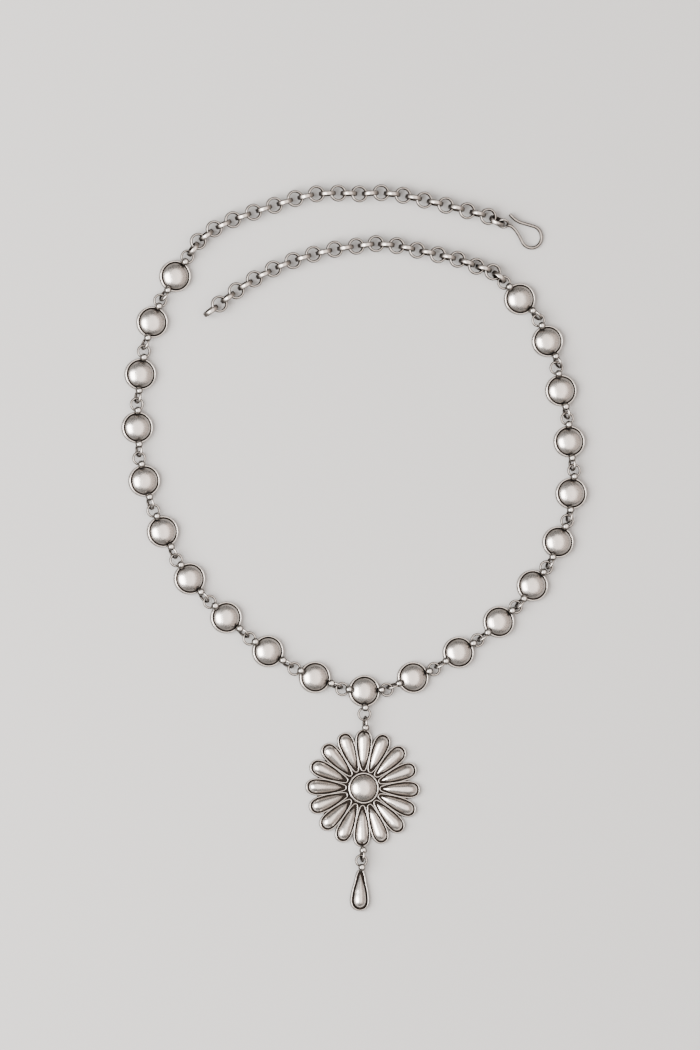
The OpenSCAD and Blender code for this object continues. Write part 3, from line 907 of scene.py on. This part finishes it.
# Links stand and lie by turns; each one halves the angle between the steps on both sides of it
def makeChain(side, start, rows, tree, silver):
    look, ending = linkLook, chainEnds[side]
    steps = [(heading, far) for count, heading, far in rows for k in range(count)]
    places, turns = [], []
    for k in range(1, len(steps) + 1):
        ahead = steps[k][0] if k < len(steps) else ending["leave"]
        x, y = start + along(steps, k)
        places.append((x * mm, y * mm, look["outerD"] / 2 * mm))
        roll = ending["lastRoll"] if k == len(steps) else 90 if k % 2 else 0
        turns.append((radians(roll), 0, radians((steps[k - 1][0] + ahead) / 2)))
    source = bpy.data.meshes.new("places")
    source.from_pydata(places, [], [])
    setValues(source, "turn", "FLOAT_VECTOR", turns)
    falls = [flankShade["uprightLink" if roll else "flatLink"] for roll, dip, heading in turns]
    setValues(source, "fall", "FLOAT", falls)
    sizes = {"Radius": (look["outerD"] - look["thick"]) / 2 * mm, "Thick": look["thick"] * mm,
             "Wide": look["wide"] * mm, "Uneven": look["uneven"] * mm, "Seed": ending["seed"]}
    made = runTree(source, tree, {**sizes, "Material": silver["chainSilver"]})
    made.name = side + "Chain"
    tidyMesh(made)
    addPiece(side + "Chain", made, side + "_chain")


def lastRing(steps):
    count = len(steps) - 1
    axis = radians(domeAxis(steps, count))
    return along(steps, count) + endLook["reach"] * np.array([cos(axis), sin(axis)])


def makeChains(silver):
    tree = makeLinkTree(linkLook)
    makeChain("right", lastRing(rightDomes), rightLinks, tree, silver)
    makeChain("left", lastRing(leftDomes) * [-1, 1], leftLinks, tree, silver)
    print("chains made")


# Hook: the eye's middle, heading and dip of the whole, the eye's size, axis and roll, the wire with its first
# heading and the degrees for each step of a bend, its wear, then rows and last size of the round end
hookLook = {"at": (45.4, 149.1, 2.3), "heading": 2, "dip": 7.2, "eyeR": 1.52, "eyeAxis": -24, "eyeRoll": 46,
            "eyeWire": 0.84, "eyeAround": 48, "eyeSides": 16, "wire": 1.05, "start": 4, "step": 3,
            "sides": 20, "uneven": 0.06, "wearScale": 500, "seed": 4.0, "tipRows": 6, "tipEnd": 0.02}
# Stretches of the hook's wire: length, turn, share of the wire's radius left at its end
hookRun = [(1.6, -40, 1), (2.25, -20, 1), (3.59, -10, 1), (3.5 * 230 * pi / 180, 230, 1), (4.4, 0, 1),
           (3.6, -32, 0.95), (0.7, 0, 0.76)]


# Points and radius shares along a table of stretches, with a round end
def bentLine(look, run):
    x, y = look["eyeR"] * cos(radians(look["eyeAxis"])), look["eyeR"] * sin(radians(look["eyeAxis"]))
    way, share = look["start"], 1
    points, shares = [(x, y, 0)], [share]
    for length, turn, left in run:
        count = max(2, ceil(abs(turn) / look["step"]))
        for k in range(count):
            way += turn / count / 2
            x += length / count * cos(radians(way))
            y += length / count * sin(radians(way))
            way += turn / count / 2
            points.append((x, y, 0))
            shares.append(share + (left - share) * (k + 1) / count)
        share = left
    r = look["wire"] / 2 * share
    for k in range(1, look["tipRows"] + 1):
        angle = radians(90 * k / look["tipRows"])
        points.append((x + r * sin(angle) * cos(radians(way)), y + r * sin(angle) * sin(radians(way)), 0))
        shares.append(share * max(cos(angle), look["tipEnd"]))
    return points, shares


# Round wire along the source's edges, its radius scaled by "share"
def makeWireTree(look):
    tree, nodes, join, given, out = newTree("wire", [
        ("Radius", "NodeSocketFloat"), ("Sides", "NodeSocketInt"), ("Uneven", "NodeSocketFloat"),
        ("Seed", "NodeSocketFloat")])
    line = nodes.new("GeometryNodeMeshToCurve")
    join(given["Geometry"], line.inputs["Mesh"])
    thick = nodes.new("GeometryNodeSetCurveRadius")
    join(line.outputs["Curve"], thick.inputs["Curve"])
    rough = nodes.new("ShaderNodeTexNoise")
    rough.noise_dimensions = "4D"
    rough.inputs["Scale"].default_value = look["wearScale"]
    join(given["Seed"], rough.inputs["W"])
    centred = maths(nodes, join, "SUBTRACT", rough.outputs["Fac"], 0.5)
    worn = maths(nodes, join, "MULTIPLY", centred, given["Uneven"])
    size = maths(nodes, join, "ADD", worn, 1)
    join(maths(nodes, join, "MULTIPLY", readValue(nodes, "share", "FLOAT"), size), thick.inputs["Radius"])
    ring = nodes.new("GeometryNodeCurvePrimitiveCircle")
    join(given["Radius"], ring.inputs["Radius"])
    join(given["Sides"], ring.inputs["Resolution"])
    tube = nodes.new("GeometryNodeCurveToMesh")
    tube.inputs["Fill Caps"].default_value = True
    join(thick.outputs["Curve"], tube.inputs["Curve"])
    join(ring.outputs["Curve"], tube.inputs["Profile Curve"])
    # Painted shade on the wire's underside
    marked = keepValue(nodes, join, tube.outputs["Mesh"], "dark", paintedLowShade(nodes, join, flankShade["hook"]))
    finishTree(nodes, join, marked, given, out)
    return tree


def makeHook(silver):
    look = hookLook
    points, shares = bentLine(look, hookRun)
    source = bpy.data.meshes.new("hookLine")
    edges = [(k, k + 1) for k in range(len(points) - 1)]
    source.from_pydata((np.array(points) * mm).tolist(), edges, [])
    setValues(source, "share", "FLOAT", shares)
    sizes = {"Radius": look["wire"] / 2 * mm, "Sides": look["sides"], "Uneven": look["uneven"],
             "Seed": look["seed"]}
    wire = runTree(source, makeWireTree(look), {**sizes, "Material": silver["chainSilver"]})
    shape = newShape()
    addRing(shape, (0, 0, 0), look["eyeR"], look["eyeWire"], look["eyeRoll"], onlyFinish,
            look["eyeAround"], look["eyeSides"])
    moveShape(shape, 0, 0, look["eyeAxis"])
    addMesh(shape, wire, onlyFinish)
    dip = radians(look["dip"])
    lean = np.array([[cos(dip), 0, -sin(dip)], [0, 1, 0], [sin(dip), 0, cos(dip)]])
    shape["points"] = shape["points"] @ lean
    moveShape(shape, 0, 0, look["heading"])
    shape["points"] += look["at"]
    addPiece("silverHook", makeMesh("silverHook", shape, [silver["chainSilver"]]), "hook")
    print("hook made")


patinaAndShade, handFinish = makePatinaAndShade(patinaAndShadeLook), makeHandFinish(handLook)
silver = {name: makeSilver(name, look, patinaAndShade, handFinish) for name, look in silvers.items()}
print("materials made")

setCamera(view)
for name, lamp in lamps.items():
    setLamp(name, lamp)
setWorld(worldLook)
makeFloor(floorLook)
print("studio made")

makeDomes(silver)
makeFlower(silver)
makeDrop(silver)
makeChains(silver)
makeHook(silver)
